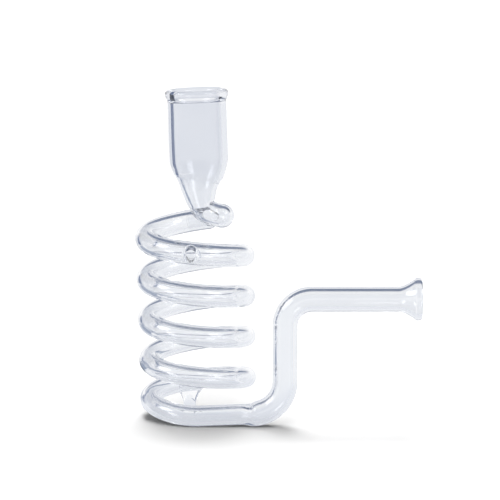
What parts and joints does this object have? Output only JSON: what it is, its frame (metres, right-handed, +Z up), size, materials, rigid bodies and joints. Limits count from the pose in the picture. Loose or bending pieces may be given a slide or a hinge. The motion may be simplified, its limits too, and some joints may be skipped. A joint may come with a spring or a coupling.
{
  "type": "glass coil tube",
  "caption": "Free-standing clear glass tube wound into an upright coil, with a funnel cup on top, a finger vent, and a side outlet that rises to a flared mouthpiece.",
  "frame": {"origin": "on the bench, under the middle of the whole object's box", "axes": "+Z up; +X the way the level arm and its mouthpiece point; the coil's lowest ring runs out along the front, at -Y"},
  "size_m": [0.1371, 0.0664, 0.159],
  "materials": {
    "clear_glass": "clear fire-polished"
  },
  "bodies": {
    "root": {"cup_rim_bead": "clear_glass", "cup_body": "clear_glass", "cup_neck": "clear_glass", "neck_elbow": "clear_glass", "coil_turn_1": "clear_glass", "coil_turn_2": "clear_glass", "coil_turn_3": "clear_glass", "coil_turn_4": "clear_glass", "coil_base_ring": "clear_glass", "outlet_bend": "clear_glass", "outlet_riser": "clear_glass", "outlet_elbow": "clear_glass", "outlet_arm": "clear_glass", "mouthpiece_flare": "clear_glass", "foot_stub": "clear_glass"}
  },
  "joints": []
}
